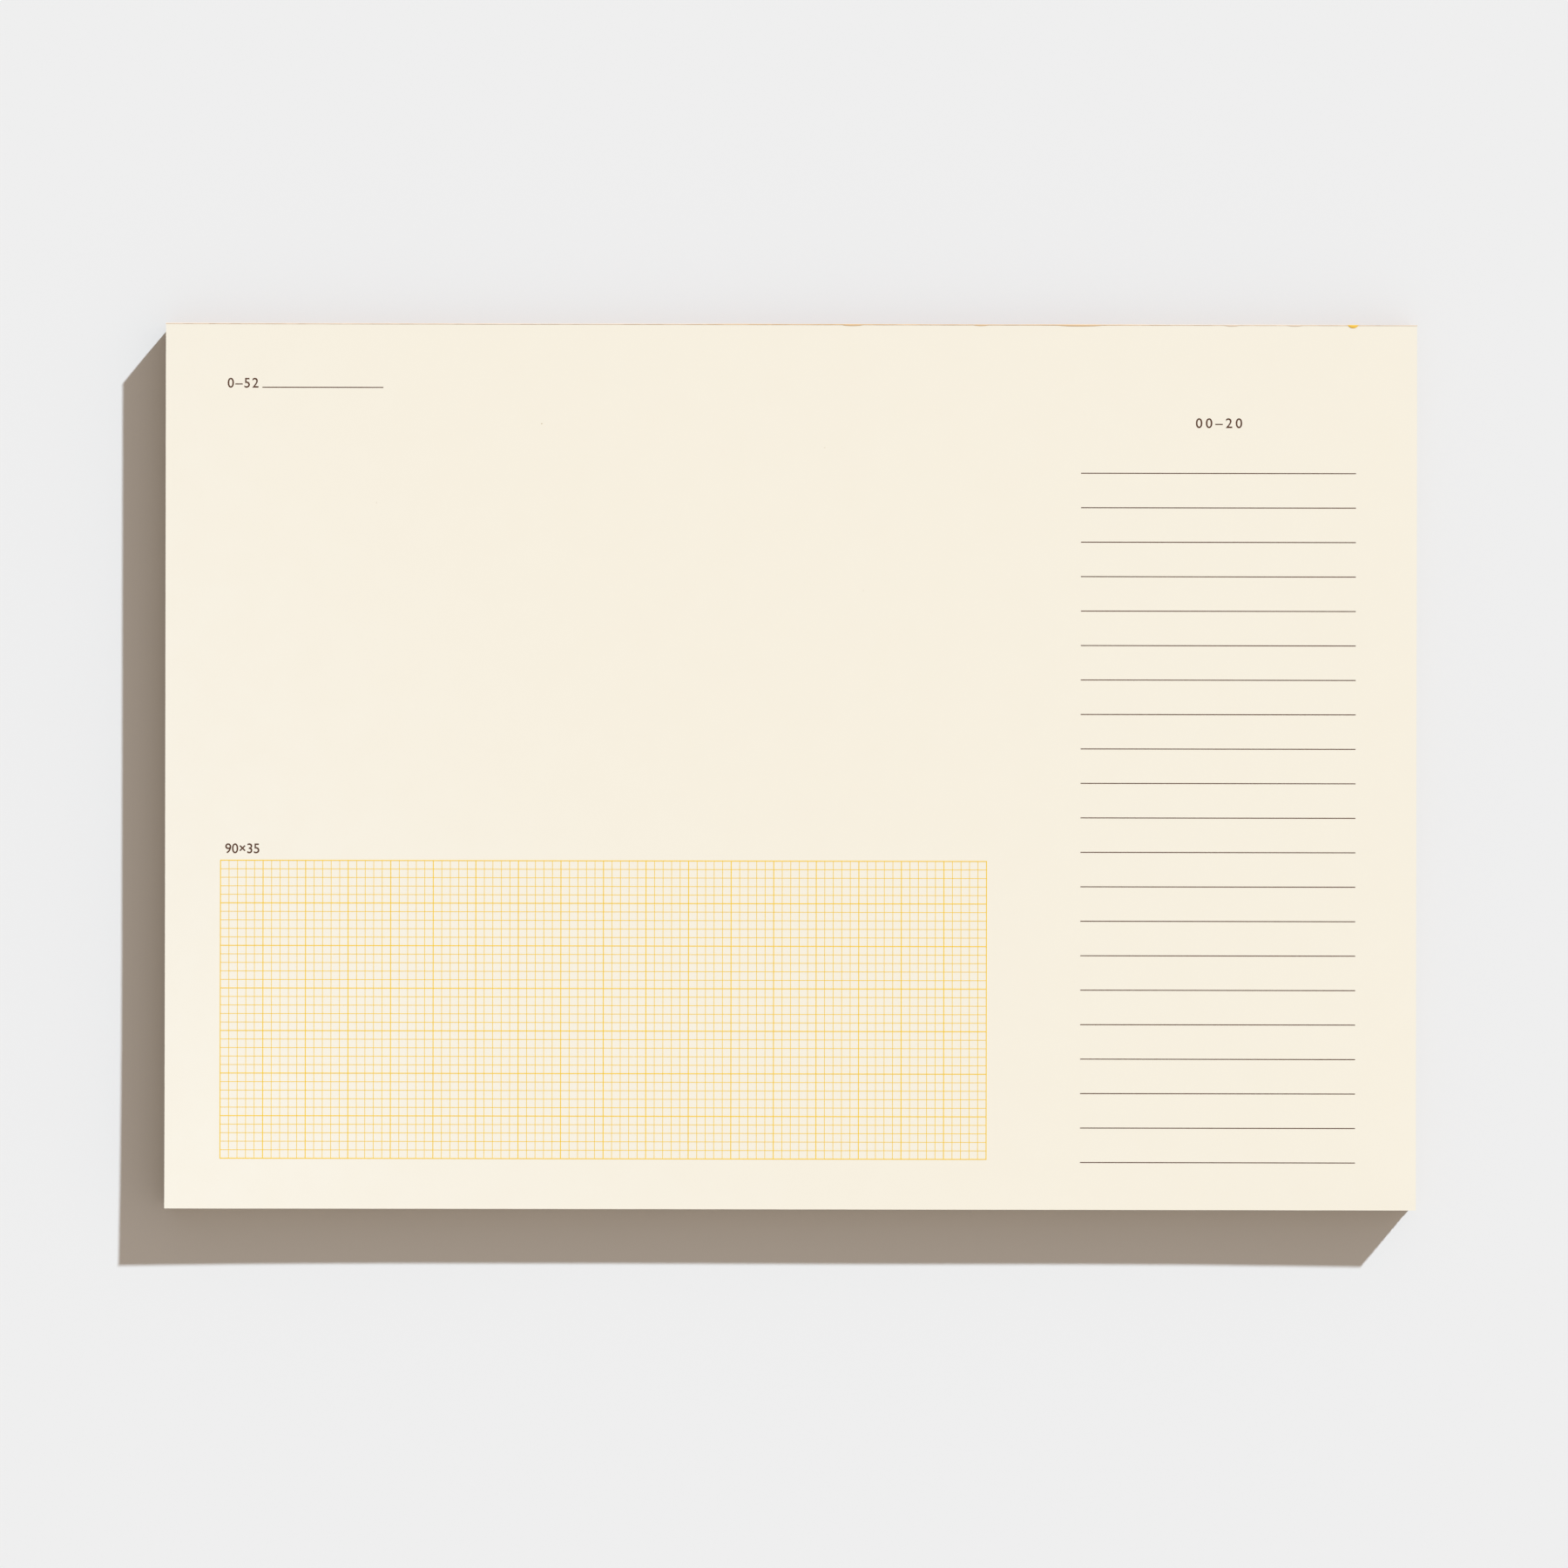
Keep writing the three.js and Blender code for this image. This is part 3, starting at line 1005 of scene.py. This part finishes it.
def make_world():
    """The fill for surfaces, and the floor's grey for every ray that shows a picture."""
    world = bpy.data.worlds.new("fill")
    bpy.context.scene.world = world
    finish = Finish(world)
    direction = finish.node("ShaderNodeTexCoord", None, None, "Generated")
    settings = {"operation": "DOT_PRODUCT"}
    lean = finish.node("ShaderNodeVectorMath", settings, {0: direction, 1: FILL_LEAN}, "Value")
    strength = 1 + lean + (LEVEL_MEAN - split(finish, direction)[2]) * HORIZON
    fill = finish.node("ShaderNodeBackground", None, {"Color": (*FILL, 1.0), "Strength": strength})
    pale = finish.node("ShaderNodeBackground", None, {"Color": FLOOR_GREY})
    looked_at = finish.node("ShaderNodeLightPath", None, None, "Is Camera Ray")
    mirrored = finish.node("ShaderNodeLightPath", None, None, "Is Glossy Ray")
    through = finish.node("ShaderNodeLightPath", None, None, "Is Transmission Ray")
    rays = looked_at + mirrored + through
    seen = finish.node("ShaderNodeMath", {"operation": "MINIMUM"}, {0: rays, 1: 1.0})
    mixed = finish.node("ShaderNodeMixShader", None, {0: seen, 1: fill, 2: pale})
    finish.node("ShaderNodeOutputWorld", None, {"Surface": mixed})
    print("fill", FILL)


make_key()
make_world()

# %% [markdown]
# ## Camera
# The photograph looks straight down. Its scale comes from the sheet's width in pixels, so a long
# lens at the distance that gives that scale puts the sheet at the right size. The sheet sits a
# little above the middle of the picture and is turned by a tenth of a degree.

# %% Camera
LENS, SENSOR = 100.0, 36.0
NEAREST, FARTHEST = 0.05, 20.0
SHEET_MIDDLE_PIXELS = (907.8, 880.7)
TURN = math.radians(0.1)


def make_camera():
    data = bpy.data.cameras.new("camera")
    data.lens = LENS
    data.sensor_width = SENSOR
    data.clip_start = NEAREST
    data.clip_end = FARTHEST
    camera = bpy.data.objects.new("camera", data)
    middle = PHOTO_PIXELS / 2
    camera.location = (
        (LEFT + RIGHT) / 2 - (SHEET_MIDDLE_PIXELS[0] - middle) * PIXEL,
        (FRONT + SPINE) / 2 + (SHEET_MIDDLE_PIXELS[1] - middle) * PIXEL,
        TOP + PHOTO_PIXELS * PIXEL * LENS / SENSOR,
    )
    camera.rotation_euler = (0.0, 0.0, TURN)
    bpy.context.scene.collection.objects.link(camera)
    bpy.context.scene.camera = camera
    print(f"camera {camera.location.z:.3f} m above the floor")


make_camera()
bpy.context.scene.view_settings.view_transform = "Standard"
